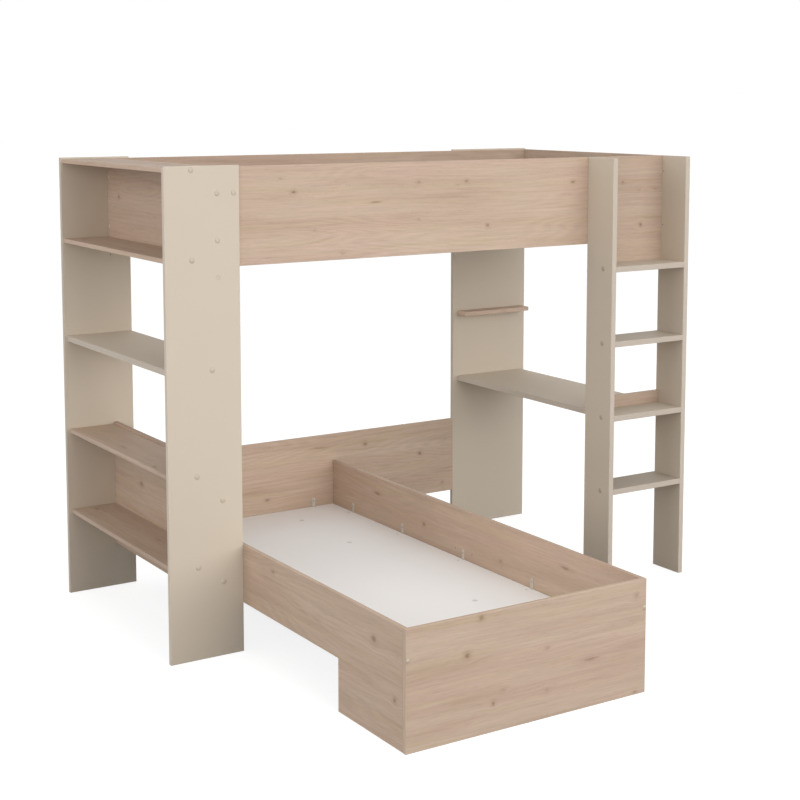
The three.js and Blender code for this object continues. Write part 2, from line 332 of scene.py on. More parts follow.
def new_material(name: str) -> tuple[bpy.types.Material, NodeGraph, bpy.types.Node]:
    """Starts a material.

    Args:
        name: the material's name.

    Returns:
        The material, its graph and its surface shader.
    """
    material = bpy.data.materials.new(name)
    graph = empty_graph(material)
    shader = graph.add("ShaderNodeBsdfPrincipled")
    graph.add("ShaderNodeOutputMaterial", {"Surface": shader.outputs[0]})
    return material, graph, shader


def wear(node: str, material: bpy.types.Material) -> None:
    """Gives a node of the frame a material in place of its own."""
    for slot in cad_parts[node].material_slots:
        slot.material = material


@dataclass(frozen=True)
class Layer:
    """One smooth noise of a finish: its cells to the metre, where in it the finish starts, how finely it
    breaks up, and the window of its values in which what it draws comes up.
    """

    cells: tuple[float, float, float]
    start: tuple[float, float, float] = (0.0, 0.0, 0.0)
    detail: float = 1.0
    roughness: float = 0.5
    window: tuple[float, float] = (0.0, 1.0)

    def draw(self, g: NodeGraph, place: object) -> Socket:
        """Draws the noise.

        Args:
            g: the graph to add to.
            place: where to read it.

        Returns:
            The noise at the place, from 0 to 1.
        """
        cells = g.add("ShaderNodeMapping", {"Vector": place, "Location": self.start, "Scale": self.cells})
        inputs = {"Scale": 1.0, "Detail": self.detail, "Roughness": self.roughness}
        return g.add("ShaderNodeTexNoise", {"Vector": cells.outputs[0], **inputs}).outputs[0]

    def share(self, g: NodeGraph, place: object, most: float = 1.0) -> Socket:
        """How far the noise is up its window, from 0 to the most."""
        return g.between(self.draw(g, place), *self.window, 0.0, most)

    def swing(self, g: NodeGraph, place: object, depth: object) -> Socket:
        """The noise as it swings about zero, times a depth."""
        return g.math("MULTIPLY", g.math("SUBTRACT", self.draw(g, place), 0.5), depth)


@dataclass(frozen=True)
class Knot:
    """A knot of the oak print, placed from the board's low corner along and across the grain."""

    along: float
    across: float
    length: float
    width: float
    strength: float


@dataclass(frozen=True)
class Board:
    """One board: the ways that its print runs and its faces look, the painted light and shade on its faces
    and on its edge bands, as factors (on oak boards the factor on the faces also holds some of the print's
    own change from board to board), and the places along and across it of the cover caps that lie flush in
    its front face.
    """

    node: str
    grain: Axis
    face: Axis
    knots: tuple[Knot, ...] = ()
    # The next two factors are painted light and shade: the first on the faces (on oak boards partly the
    # print's own change from board to board), the second on the edge bands.
    tone: float = 1.0
    band_tone: float = 1.0
    flush_caps: tuple[tuple[float, float], ...] = ()
    face_window: tuple[float, float] = (0.75, 0.9)

    def corner(self) -> Vector:
        """The board's lowest corner."""
        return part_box(self.node)[0]

    def size(self) -> Vector:
        """The board's length along each axis."""
        low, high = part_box(self.node)
        return high - low

    def chance(self) -> random.Random:
        """Draws that are this board's own and the same in each run."""
        return random.Random(self.node)

    def by_face(self, g: NodeGraph, edge: float, sheet: float) -> Socket:
        """One number on the edges that run across the board's faces, and another on the faces.

        Args:
            g: the graph to add to.
            edge: the number on the edges.
            sheet: the number on the faces.

        Returns:
            The number's socket.
        """
        out_of_face = g.math("ABSOLUTE", g.outward()[self.face.value])
        return g.between(out_of_face, *self.face_window, edge, sheet)

    def tones(self, g: NodeGraph) -> Socket:
        """The painted light and shade on the board, its edge bands apart from its faces."""
        return self.by_face(g, self.band_tone, self.tone)


@dataclass(frozen=True)
class OakPrint:
    """Pale oak print on melamine: streaks, flames and knots, with fine pores pressed into it."""

    light: Colour = colour_of(195, 174, 155)
    middle: Colour = colour_of(189, 166, 147)
    deep: Colour = colour_of(180, 156, 136)
    blush: Colour = colour_of(190, 163, 146)
    ochre: Colour = colour_of(188, 167, 139)
    knot: Colour = colour_of(122, 92, 68)
    cap: Colour = colour_of(193, 177, 159)

    sway: Layer = Layer((1.6, 5, 5))
    tone: Layer = Layer((1.3, 19, 19), (3, 7, 1), detail=3.0, roughness=0.55)
    warmth: Layer = Layer((1.0, 8, 8), (11, 2, 5), window=(0.46, 0.66))
    straw: Layer = Layer((1.8, 32, 32), (4, 13, 6), detail=2.0, window=(0.52, 0.72))
    rings: Layer = Layer((0.75, 7.5, 7.5), (1, 17, 9), roughness=0.4)
    flames: Layer = Layer((1.2, 5, 5), (8, 4, 2), detail=0.0, window=(0.44, 0.60))
    flecks: Layer = Layer((3.5, 24, 24), (9, 1, 7), window=(0.56, 0.72))
    ripples: Layer = Layer((95, 190, 190), (7, 5, 3))
    streaks: Layer = Layer((3.6, 120, 120), (5, 1, 3), detail=3.0, roughness=0.6)
    fibres: Layer = Layer((18, 640, 640), (2, 9, 4), detail=2.0)
    pores: Layer = Layer((26, 900, 900), (6, 3, 8), window=(0.62, 0.72))
    ruffle: Layer = Layer((150, 260, 260), detail=2.0)

    wander: float = 0.030
    tone_stops: tuple[float, float, float] = (0.30, 0.48, 0.68)
    tint_share: float = 0.55
    ring_count: float = 165.0
    figure_depth: float = 0.07
    ripple_depth: float = 0.16
    streak_depth: float = 0.17
    fibre_depth: float = 0.11
    pore_depth: float = 0.14
    base_shade: float = 1.01
    roughness: float = 0.60
    streak_roughness: tuple[float, float] = (0.05, -0.04)
    pore_roughness: float = 0.12
    specular: float = 0.22
    fibre_height: float = 2.0
    pore_height: float = 0.8
    relief: float = 0.00025
    relief_strength: float = 0.35
    end_window: tuple[float, float] = (0.6, 0.7)
    print_reach: float = 40.0

    knot_share: float = 0.9
    ruffle_depth: float = 1.5
    heart: tuple[float, float, float] = (0.30, 1.20, 0.85)
    halo: tuple[float, float, float] = (0.5, 2.6, 0.20)
    bend_reach: float = 5.0
    bend: float = 0.6
    spare_knots_per_area: float = 9.0
    spare_along: tuple[float, float] = (0.05, 0.95)
    spare_across: tuple[float, float] = (0.1, 0.9)
    spare_length: tuple[float, float] = (0.008, 0.020)
    spare_width: tuple[float, float] = (0.005, 0.009)
    spare_strength: tuple[float, float] = (0.35, 0.95)

    front_window: tuple[float, float] = (-0.7, -0.6)
    cap_edge: float = 0.96
    # The next two numbers set a painted shadow ring inside the rim of each flush cap.
    cap_shadow_start: float = 0.70
    cap_shadow: float = 0.6
    cap_flat: float = 0.1

    @cache
    def knot_group(self) -> bpy.types.NodeTree:
        """The group that bends the grain round one knot and darkens its heart.

        Returns:
            The node group, made once.
        """
        inputs = {
            "Place": "Vector", "Dark": "Float", "Centre": "Vector", "Share": "Vector", "Strength": "Float"
        }
        tree, g, taken, given = new_group("oak_knot", inputs, {"Place": "Vector", "Dark": "Float"})
        place, dark, centre, share, strength = taken.outputs[:5]
        away = g.vector("SUBTRACT", place, centre)
        ring = g.length(g.vector("MULTIPLY", away, share))
        ragged = g.math("ADD", ring, self.ruffle.swing(g, place, self.ruffle_depth))
        marks = [g.between(ragged, start, end, depth, 0.0) for start, end, depth in (self.heart, self.halo)]
        mark = g.math("MULTIPLY", g.math("MAXIMUM", *marks), strength)
        pull = g.between(ring, 0.0, self.bend_reach, -self.bend, 0.0)
        sideways = g.vector("MULTIPLY", away, (0.0, 1.0, 1.0))
        bend = g.add("ShaderNodeVectorMath", {0: sideways, "Scale": pull}, operation="SCALE").outputs[0]
        g.fill(given, {"Place": g.vector("ADD", place, bend), "Dark": g.math("MAXIMUM", dark, mark)})
        return tree

    @cache
    def figure_group(self) -> bpy.types.NodeTree:
        """The group that draws the oak from a place along and across the grain.

        Returns:
            The node group, made once.
        """
        outputs = {"Color": "Color", "Roughness": "Float", "Height": "Float"}
        inputs = {"Place": "Vector", "Dark": "Float", "Tone": "Float"}
        tree, g, taken, given = new_group("oak_figure", inputs, outputs)
        place, dark, tone = taken.outputs[:3]
        sway = self.sway.swing(g, place, self.wander)
        grain = g.vector("ADD", place, g.joined(0.0, sway, sway))

        stops = list(zip(self.tone_stops, (self.deep, self.middle, self.light), strict=True))
        colour = g.ramp(self.tone.draw(g, grain), stops)
        colour = g.blend(self.warmth.share(g, grain, self.tint_share), colour, self.blush)
        colour = g.blend(self.straw.share(g, grain, self.tint_share), colour, self.ochre)

        flame = g.math("SINE", g.math("MULTIPLY", self.rings.draw(g, grain), self.ring_count))
        shown = g.math("MULTIPLY", self.flames.share(g, place), self.figure_depth / 2)
        flame = g.math("MULTIPLY", flame, shown)
        flecked = g.math("MULTIPLY", self.flecks.share(g, place), self.ripple_depth)
        ripple = self.ripples.swing(g, grain, flecked)
        streak = self.streaks.swing(g, grain, 2 * self.streak_depth)
        fibre = self.fibres.swing(g, grain, 2 * self.fibre_depth)
        pores = self.pores.share(g, grain)

        shade = g.math("ADD", g.math("ADD", flame, streak), g.math("ADD", fibre, ripple))
        shade = g.math("ADD", shade, self.base_shade)
        shade = g.math("SUBTRACT", shade, g.math("MULTIPLY", pores, self.pore_depth))
        # The print's shade is multiplied here by the board's painted light and shade.
        colour = g.shaded(colour, g.math("MULTIPLY", shade, tone))
        colour = g.blend(g.math("MULTIPLY", dark, self.knot_share), colour, self.knot)

        rough_ends = [self.roughness + change for change in self.streak_roughness]
        rough = g.between(streak, -self.streak_depth, self.streak_depth, *rough_ends)
        rough = g.math("ADD", rough, g.math("MULTIPLY", pores, self.pore_roughness))
        sunk = g.math("MULTIPLY", pores, self.pore_height)
        height = g.math("SUBTRACT", g.math("MULTIPLY", fibre, self.fibre_height), sunk)
        height = g.math("SUBTRACT", height, dark)
        g.fill(given, {"Color": colour, "Roughness": rough, "Height": height})
        return tree

    def knots_of(self, board: Board) -> list[Knot]:
        """The board's own knots, or some drawn by chance where it names none.

        Args:
            board: the board to dress.

        Returns:
            The knots, placed from the board's low corner.
        """
        if board.knots:
            return list(board.knots)
        chance = board.chance()
        length = board.size()[board.grain.value]
        width = board.size()[board.grain.across(board.face).value]
        count = max(1, round(length * width * self.spare_knots_per_area))
        return [
            Knot(
                chance.uniform(*self.spare_along) * length,
                chance.uniform(*self.spare_across) * width,
                chance.uniform(*self.spare_length),
                chance.uniform(*self.spare_width),
                chance.uniform(*self.spare_strength),
            )
            for _ in range(count)
        ]

    def lay_caps(
        self, g: NodeGraph, board: Board, place: object, front: object, colour: object, normal: Socket
    ) -> tuple[Socket, Socket]:
        """Lays round cover caps in the finish of a board's front face, with a painted shadow darkening the
        rim of each.

        Args:
            g: the graph to add to.
            board: the board to dress.
            place: the place along and across the board.
            front: -1 on the front face, and more on the others.
            colour: the colour of the print.
            normal: the normal of the print.

        Returns:
            The colour and the normal with the caps in them.
        """
        reach: object = 1.0
        for along, across in board.flush_caps:
            away = g.vector("SUBTRACT", place, (along, across, 0.0))
            reach = g.math("MINIMUM", reach, g.length(g.vector("MULTIPLY", away, (1.0, 1.0, 0.0))))
        reach = g.math("ADD", reach, g.between(front, *self.front_window))
        covered = g.between(reach, self.cap_edge * CAP_RADIUS, CAP_RADIUS, 1.0, 0.0)
        colour = g.blend(covered, colour, self.cap)
        # Painted shadow: a dark ring in the knot's brown round the inside of each cap's rim.
        shadow = g.between(reach, self.cap_shadow_start * CAP_RADIUS, CAP_RADIUS, 0.0, self.cap_shadow)
        colour = g.blend(g.math("MULTIPLY", covered, shadow), colour, self.knot)
        dome = g.between(reach, self.cap_flat * CAP_RADIUS, CAP_RADIUS, CAP_CROWN, 0.0)
        return colour, g.bump(dome, 1.0, normal=normal)

    def dress(self, board: Board) -> None:
        """Gives a board its own piece of the print.

        Args:
            board: the board to dress.
        """
        material, g, shader = new_material(f"oak_{board.node}")
        chance = board.chance()
        parts = g.split(g.vector("SUBTRACT", g.spot(), tuple(board.corner())))
        order = (board.grain, board.grain.across(board.face), board.face)
        along, across, through = (parts[axis.value] for axis in order)
        straight = g.joined(along, across, through)
        strip = g.joined(across, through, along)
        outward = g.outward()
        at_end = g.between(g.math("ABSOLUTE", outward[board.grain.value]), *self.end_window)

        place = straight
        dark: object = 0.0
        for knot in self.knots_of(board):
            inputs = {
                "Place": place,
                "Dark": dark,
                "Centre": (knot.along, knot.across, 0.0),
                "Share": (1 / knot.length, 1 / knot.width, 0.0),
                "Strength": knot.strength,
            }
            place, dark = g.add("ShaderNodeGroup", inputs, node_tree=self.knot_group()).outputs[:2]

        ends = g.add("ShaderNodeMix", {0: at_end, 4: place, 5: strip}, data_type="VECTOR").outputs[1]
        # The board's painted light and shade goes into the figure, with the place and the knots' dark.
        inputs = {
            "Place": g.vector("ADD", ends, tuple(chance.uniform(0, self.print_reach) for _ in range(3))),
            "Tone": board.tones(g),
            "Dark": g.math("MULTIPLY", dark, g.math("SUBTRACT", 1.0, at_end)),
        }
        figure = g.add("ShaderNodeGroup", inputs, node_tree=self.figure_group())
        colour, rough, height = figure.outputs[:3]
        normal = g.bump(height, self.relief, self.relief_strength)
        if board.flush_caps:
            colour, normal = self.lay_caps(g, board, straight, outward[board.face.value], colour, normal)
        g.fill(shader, {
            "Base Color": colour,
            "Roughness": rough,
            "Specular IOR Level": self.specular,
            "Normal": normal,
        })
        wear(board.node, material)


@dataclass(frozen=True)
class PlainMelamine:
    """Plain matt melamine with a fine pearl to its surface and slightly darker edge bands."""

    name: str
    face: Colour
    edge: Colour
    mottle: float = 0.035
    roughness: float = 0.60
    roughness_swing: float = 0.03
    specular: float = 0.22
    cloud: Layer = Layer((3, 3, 3), detail=3.0, window=(0.3, 0.7))
    pearl: Layer = Layer((1 / 0.0011,) * 3)
    relief: float = 0.00012
    relief_strength: float = 0.25

    def dress(self, board: Board) -> None:
        """Gives a board this finish, which boards that look and shine alike share.

        Args:
            board: the board to dress.
        """
        # The material's name carries the board's painted light and shade levels.
        tones = f"{round(board.tone * 100)}_{round(board.band_tone * 100)}"
        name = f"{self.name}_{board.face.name.lower()}_{tones}"
        wear(board.node, bpy.data.materials.get(name) or self.make(name, board))

    def make(self, name: str, board: Board) -> bpy.types.Material:
        """Makes the finish for boards that look and shine like this one.

        Args:
            name: the material's name.
            board: the first such board.

        Returns:
            The material.
        """
        material, g, shader = new_material(name)
        cloud = self.cloud.draw(g, g.spot())
        grit = self.pearl.draw(g, g.spot())
        shade = g.math("ADD", g.math("MULTIPLY", cloud, self.mottle), 1 - self.mottle / 2)
        shade = g.math("ADD", shade, g.math("MULTIPLY", g.math("SUBTRACT", grit, 0.5), self.mottle))
        # Painted light and shade of the board, on its faces and on its edge bands.
        shade = g.math("MULTIPLY", shade, board.tones(g))
        colour = g.blend(board.by_face(g, 0.0, 1.0), self.edge, self.face)
        rough_ends = (self.roughness + self.roughness_swing, self.roughness - self.roughness_swing)
        g.fill(shader, {
            "Base Color": g.shaded(colour, shade),
            "Roughness": g.between(cloud, *self.cloud.window, *rough_ends),
            "Specular IOR Level": self.specular,
            "Normal": g.bump(grit, self.relief, self.relief_strength),
        })
        return material


@dataclass(frozen=True)
class SmallFinish:
    """A finish of small parts, whose shade and gloss follow one fine noise."""

    name: str
    tone: Colour
    roughness: float
    marks: Layer
    darkest: float
    roughness_swing: tuple[float, float]

    @cache
    def material(self) -> bpy.types.Material:
        """The finish, made once.

        Returns:
            The material.
        """
        material, g, shader = new_material(self.name)
        marks = self.marks.draw(g, g.spot())
        rough_ends = [self.roughness + change for change in self.roughness_swing]
        g.fill(shader, {
            "Base Color": g.shaded(self.tone, g.between(marks, *self.marks.window, self.darkest, 1.0)),
            "Roughness": g.between(marks, *self.marks.window, *rough_ends),
            **self.surface(g),
        })
        return material

    def surface(self, g: NodeGraph) -> dict[str, object]:
        """What else a kind of finish sets on its shader, which is nothing by itself."""
        return {}


@dataclass(frozen=True)
class MouldedPlastic(SmallFinish):
    """Satin moulded plastic, with faint flow marks and a fine grain."""

    roughness: float = 0.38
    marks: Layer = Layer((90, 90, 40), detail=2.0, window=(0.3, 0.7))
    darkest: float = 0.955
    roughness_swing: tuple[float, float] = (-0.05, 0.06)
    grain: Layer = Layer((1500, 1500, 1500))
    relief: float = 0.00004
    relief_strength: float = 0.2

    def surface(self, g: NodeGraph) -> dict[str, object]:
        """The grain's relief."""
        return {"Normal": g.bump(self.grain.draw(g, g.spot()), self.relief, self.relief_strength)}


@dataclass(frozen=True)
class PlatedSteel(SmallFinish):
    """Dull plate on steel screws, with a fine spangle."""

    roughness: float = 0.40
    marks: Layer = Layer((700, 700, 700), detail=2.0, window=(0.3, 0.7))
    darkest: float = 0.82
    roughness_swing: tuple[float, float] = (0.0, 0.12)
    metallic: float = 0.9

    def surface(self, g: NodeGraph) -> dict[str, object]:
        """How metallic the plate is."""
        return {"Metallic": self.metallic}


@dataclass(frozen=True)
class Ring:
    """One ring of a turned shape: how far out and how high it lies, and its flats if it isn't round."""

    radius: float
    height: float
    flats: int = 0


@dataclass(frozen=True)
class TurnedPart:
    """A small closed part turned about its own axis: a cap, a cam cover or a screw head."""

    rings: tuple[Ring, ...]
    segments: int = 36

    def reach(self, ring: Ring, angle: float) -> float:
        """How far out a ring lies at an angle, which flats draw in.

        Args:
            ring: the ring.
            angle: the angle about the axis.

        Returns:
            The distance from the axis.
        """
        if not ring.flats:
            return ring.radius
        half = math.pi / ring.flats
        return ring.radius * math.cos(half) / math.cos((angle % (2 * half)) - half)

    def add_to(self, mesh: bmesh.types.BMesh, spot: Vector, facing: Facing) -> None:
        """Adds one such part, its axis out of a face.

        Args:
            mesh: the mesh to add to.
            spot: the point of the face at its middle.
            facing: the way that the face looks.
        """
        turn = Matrix.Translation(spot) @ facing.turn()
        rows = []
        for ring in self.rings:
            row = []
            for k in range(self.segments):
                angle = 2 * math.pi * k / self.segments
                out = self.reach(ring, angle)
                local = Vector((out * math.cos(angle), out * math.sin(angle), ring.height))
                row.append(mesh.verts.new(turn @ local))
            rows.append(row)
        for low, high in zip(rows, rows[1:]):
            for k in range(self.segments):
                after = (k + 1) % self.segments
                mesh.faces.new((low[k], low[after], high[after], high[k]))
        mesh.faces.new(reversed(rows[0]))
        mesh.faces.new(rows[-1])


@dataclass(frozen=True)
class Fasteners:
    """The small parts that hold this bed together, each seated in a bore of its board or on its face."""

    cap_seat: float = 0.0026
    bore_radius: float = 0.0077
    narrow_radius: float = 0.0043
    sunk_drop: float = 0.0010
    sunk_crown: float = 0.0008
    low_cap_radius: float = 0.0075
    low_cap_crown: float = 0.0018
    bolt_radius: float = 0.0033
    bolt_end_depth: float = 0.0040
    bolt_end_drop: float = 0.0006
    bolt_end_crown: float = 0.0005
    plug_radius: float = 0.0072
    plug_rise: float = 0.0001
    plug_crown: float = 0.0003
    base_plug_radius: float = 0.0100
    base_plug_rise: float = 0.0004
    pin_radius: float = 0.0025
    screw_radius: float = 0.0036
    screw_rise: float = 0.0003
    screw_depth: float = 0.0024
    screw_side: float = 0.0004
    shank_share: float = 0.45
    hex_radius: float = 0.0022
    hex_depth: float = 0.0014
    hex_taper: float = 0.96
    pan_radius: float = 0.0034
    pan_height: float = 0.0020
    pan_hex_share: float = 0.45
    pan_hex_depth: float = 0.0010
    pan_hex_taper: float = 0.95
    pan_land: float = 0.0004
    hex_sides: int = 6
    ease: float = 0.0002
    cap_steps: int = 8
    pan_steps: int = 6
    disc_steps: int = 5
    disc_rim_share: float = 0.15
    disc_powers: tuple[float, float] = (0.8, 1.2)
    pin_segments: int = 20
    pan_segments: int = 24
    cam_rings: tuple[Ring, ...] = (
        Ring(0.0073, -0.0110),
        Ring(0.0073, 0.0001),
        Ring(0.0067, 0.0005),
        Ring(0.0057, 0.0005),
        Ring(0.0053, 0.0002),
        Ring(0.003285, 0.0002),
        Ring(0.00219, -0.0009),
    )

    def dome(self, radius: float, crown: float, steps: int) -> tuple[Ring, ...]:
        """Rings of an oval dome, steep at its rim and nearly flat in the middle.

        Args:
            radius: the dome's radius.
            crown: its height.
            steps: rings from the rim to the flat middle.

        Returns:
            The rings, from the rim up.
        """
        turns = [math.pi / 2 * k / (steps + 1) for k in range(steps + 1)]
        return tuple(Ring(radius * math.cos(turn), crown * math.sin(turn)) for turn in turns)

    def disc(self, radius: float, base: float, top: float, crown: float) -> tuple[Ring, ...]:
        """Rings of a flat-based disc whose face rises a little to its middle.

        Args:
            radius: the disc's radius.
            base: the height of its underside.
            top: the height at its rim.
            crown: how much higher its middle is than the rim.

        Returns:
            The rings, from the underside up.
        """
        out_power, up_power = self.disc_powers
        rings = [Ring(radius, base), Ring(radius, top - crown * self.disc_rim_share)]
        for k in range(1, self.disc_steps + 1):
            turn = math.pi / 2 * k / (self.disc_steps + 1)
            rings.append(Ring(radius * math.cos(turn) ** out_power, top + crown * math.sin(turn) ** up_power))
        return tuple(rings)

    def socket(self, radius: float, level: float, depth: float, taper: float) -> tuple[Ring, ...]:
        """Rings of a six-sided socket in a screw head.

        Args:
            radius: how far out its corners lie.
            level: the height of its rim.
            depth: how deep it is.
            taper: how wide its floor is, as a share of the radius.

        Returns:
            The rings, from the rim down.
        """
        places = ((radius + self.ease, level), (radius, level - self.ease), (radius * taper, level - depth))
        return tuple(Ring(out, height, self.hex_sides) for out, height in places)

    def domed_cap(self, stem: float, radius: float = CAP_RADIUS, crown: float = CAP_CROWN) -> TurnedPart:
        """A cover cap that stands proud as a soft dome over a bolt.

        Args:
            stem: the radius of the stem that sits in the bore.
            radius: the dome's radius.
            crown: the dome's height.

        Returns:
            The cap.
        """
        rings = (Ring(stem, -self.cap_seat), Ring(stem, 0.0))
        return TurnedPart(rings + self.dome(radius, crown, self.cap_steps))

    def low_cap(self) -> TurnedPart:
        """A smaller and flatter cover cap, for the bolts beside the tower's back panel."""
        return self.domed_cap(self.bolt_radius, self.low_cap_radius, self.low_cap_crown)

    def sunk_cap(self, radius: float) -> TurnedPart:
        """A cover cap just under the face, as wide as its bore, where a proud one has no room."""
        return TurnedPart(self.disc(radius, -self.cap_seat, -self.sunk_drop, self.sunk_crown))

    def bolt_end(self) -> TurnedPart:
        """The middle of a flush cap, just under the face in its bore."""
        depths = (-self.bolt_end_depth, -self.bolt_end_drop)
        return TurnedPart(self.disc(self.bolt_radius, *depths, self.bolt_end_crown))

    def flat_plug(self) -> TurnedPart:
        """A thin plug, level with the face."""
        return TurnedPart(self.disc(self.plug_radius, -self.cap_seat, self.plug_rise, self.plug_crown))

    def base_plug(self) -> TurnedPart:
        """A wide flat plug that lies on a base sheet."""
        return TurnedPart(self.disc(self.base_plug_radius, -self.ease, self.base_plug_rise, self.plug_crown))

    def pin_plug(self) -> TurnedPart:
        """A small plug over a dowel pin, just proud of the face."""
        return TurnedPart(self.disc(self.pin_radius, -self.ease, self.ease, self.ease), self.pin_segments)

    def cam_cover(self) -> TurnedPart:
        """The cover of a cam in its bore, with a raised ring."""
        return TurnedPart(self.cam_rings)

    def base_screw(self) -> TurnedPart:
        """A countersunk screw head with a six-sided socket, a little proud of the sheet.

        Returns:
            The screw head.
        """
        top = self.screw_rise
        head = (
            Ring(self.screw_radius * self.shank_share, top - self.screw_depth),
            Ring(self.screw_radius, top - self.screw_side),
            Ring(self.screw_radius - self.ease, top),
        )
        return TurnedPart(head + self.socket(self.hex_radius, top, self.hex_depth, self.hex_taper))

    def pan_head(self) -> TurnedPart:
        """A round screw head that stands on a face, with a six-sided socket.

        Returns:
            The screw head.
        """
        hex_radius = self.pan_radius * self.pan_hex_share
        dome = self.dome(self.pan_radius, self.pan_height, self.pan_steps)
        round_part = tuple(ring for ring in dome if ring.radius > hex_radius + self.pan_land)
        socket = self.socket(hex_radius, self.pan_height, self.pan_hex_depth, self.pan_hex_taper)
        return TurnedPart((Ring(self.pan_radius, -self.ease),) + round_part + socket, self.pan_segments)


@dataclass(frozen=True)
class Fitting:
    """One kind of small part at its places on one face."""

    name: str
    part: TurnedPart
    spots: tuple[Vector, ...]
    facing: Facing
    material: bpy.types.Material
    slot: str | None = None
    sharp_angle: float = 40.0

    def build(self) -> bpy.types.Object:
        """Builds the parts as one piece that rides with the bed.

        Returns:
            The piece.
        """
        mesh = bmesh.new()
        for spot in self.spots:
            self.part.add_to(mesh, spot, self.facing)
        bmesh.ops.recalc_face_normals(mesh, faces=mesh.faces)
        piece = add_mesh(self.name, mesh, self.material)
        piece.data.shade_smooth()
        piece.data.set_sharp_from_angle(angle=math.radians(self.sharp_angle))
        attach(piece, "root")
        log.info("%s: %d parts", self.name, len(self.spots))
        return piece


oak = OakPrint()
beige = PlainMelamine("beige_melamine", colour_of(203, 190, 173), colour_of(193, 181, 167))
white = PlainMelamine("white_melamine", colour_of(247, 245, 243), colour_of(242, 241, 239), mottle=0.02)
cap_plastic = MouldedPlastic("cap_plastic", colour_of(192, 178, 160), roughness=0.5)
plug_plastic = MouldedPlastic("plug_plastic", colour_of(201, 188, 171), roughness=0.55)
cam_plastic = MouldedPlastic("cam_plastic", colour_of(204, 188, 167), roughness=0.5)
side_cap_plastic = MouldedPlastic("side_cap_plastic", colour_of(170, 157, 141), roughness=0.55)
foot_cap_plastic = MouldedPlastic("foot_cap_plastic", colour_of(202, 187, 169), roughness=0.5)
brown_plastic = MouldedPlastic("brown_plastic", colour_of(118, 96, 76), roughness=0.5)
grey_plastic = MouldedPlastic("grey_plastic", colour_of(219, 216, 213))
bracket_plastic = MouldedPlastic("bracket_plastic", colour_of(200, 194, 181), roughness=0.5)
zinc = PlatedSteel("zinc_plate", colour_of(176, 174, 170))
fasteners = Fasteners()


@dataclass
class StorageTower:
    """The open shelf tower at the left end, which carries one end of the loft."""

    shelf_bolt_reach: float = 0.094
    middle_bolt_reach: float = 0.159
    rail_bolt_inset: float = 0.021
    spare_bore_drop: float = 0.033
    back_panel_bolt_shares: tuple[float, float] = (0.187, 0.774)
    low_shelf_knots: tuple[Knot, ...] = (
        Knot(0.524, 0.049, 0.020, 0.004, 0.8),
        Knot(0.167, 0.016, 0.014, 0.007, 0.7),
    )
    bottom_shelf_knots: tuple[Knot, ...] = (
        Knot(0.888, 0.084, 0.024, 0.009, 0.6),
        Knot(0.350, 0.106, 0.012, 0.006, 0.5),
    )
    back_panel_knots: tuple[Knot, ...] = (
        Knot(0.673, 0.298, 0.016, 0.012, 0.8),
        Knot(0.250, 0.133, 0.012, 0.007, 0.5),
    )

    def bolt_places(self) -> list[tuple[float, float]]:
        """Where the bolts come through a tower panel, as X and Z.

        Returns:
            The places, the spare bore last.
        """
        board, back = "upper_left_end_board", "tower_lower_back_panel"
        board_x = middle_of(board).x
        places = []
        for shelf in ("top", "upper", "middle", "low", "bottom"):
            node = f"tower_{shelf}_shelf"
            reach = self.middle_bolt_reach if shelf == "middle" else self.shelf_bolt_reach
            places.append((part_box(node)[0].x + reach, middle_of(node).z))
        rows = [level_in(board, share) for share in RAIL_BOLT_SHARES]
        places.append((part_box("tower_front_panel")[1].x - self.rail_bolt_inset, rows[1]))
        places += [(board_x, row) for row in rows]
        places += [(middle_of(back).x, level_in(back, share)) for share in self.back_panel_bolt_shares]
        places.append((board_x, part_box(board)[0].z - self.spare_bore_drop))
        return places

    def dress(self) -> None:
        """Gives the boards their finishes."""
        # The factors given to these boards are painted light and shade on their faces and edge bands; on the
        # oak boards those on the faces also hold some of the print's own change from board to board.
        beige.dress(Board("tower_front_panel", Axis.Z, Axis.Y, band_tone=1.12))
        beige.dress(Board("tower_back_panel", Axis.Z, Axis.Y, tone=1.05))
        beige.dress(Board("tower_middle_shelf", Axis.Y, Axis.Z))
        oak.dress(Board("tower_top_shelf", Axis.Y, Axis.Z, tone=0.78, band_tone=1.05))
        oak.dress(Board("tower_upper_shelf", Axis.Y, Axis.Z, tone=0.96, band_tone=1.04))
        oak.dress(Board("tower_low_shelf", Axis.Y, Axis.Z, self.low_shelf_knots, tone=0.93, band_tone=0.94))
        knots = self.bottom_shelf_knots
        oak.dress(Board("tower_bottom_shelf", Axis.Y, Axis.Z, knots, tone=0.95, band_tone=0.86))
        knots = self.back_panel_knots
        oak.dress(Board("tower_lower_back_panel", Axis.Y, Axis.X, knots, tone=0.91, band_tone=0.78))

    def build(self) -> None:
        """Builds the cover caps over the tower's bolts."""
        cap, plug = cap_plastic.material(), plug_plastic.material()
        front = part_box("tower_front_panel")[0].y
        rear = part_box("tower_back_panel")[1].y
        *on_front, spare = (Vector((x, front, z)) for x, z in self.bolt_places())
        on_rear = tuple(Vector((x, rear, z)) for x, z in self.bolt_places()[:-1])
        domed = fasteners.domed_cap(fasteners.bore_radius)
        sunk = fasteners.sunk_cap(fasteners.bore_radius)
        flat = fasteners.flat_plug()
        slot = "beige_melamine"
        Fitting("tower_front_caps", domed, tuple(on_front), Facing.FRONT, cap, slot).build()
        Fitting("tower_front_plug", flat, (spare,), Facing.FRONT, plug, slot).build()
        Fitting("tower_rear_caps", sunk, on_rear, Facing.REAR, cap, slot).build()
        self.dress()


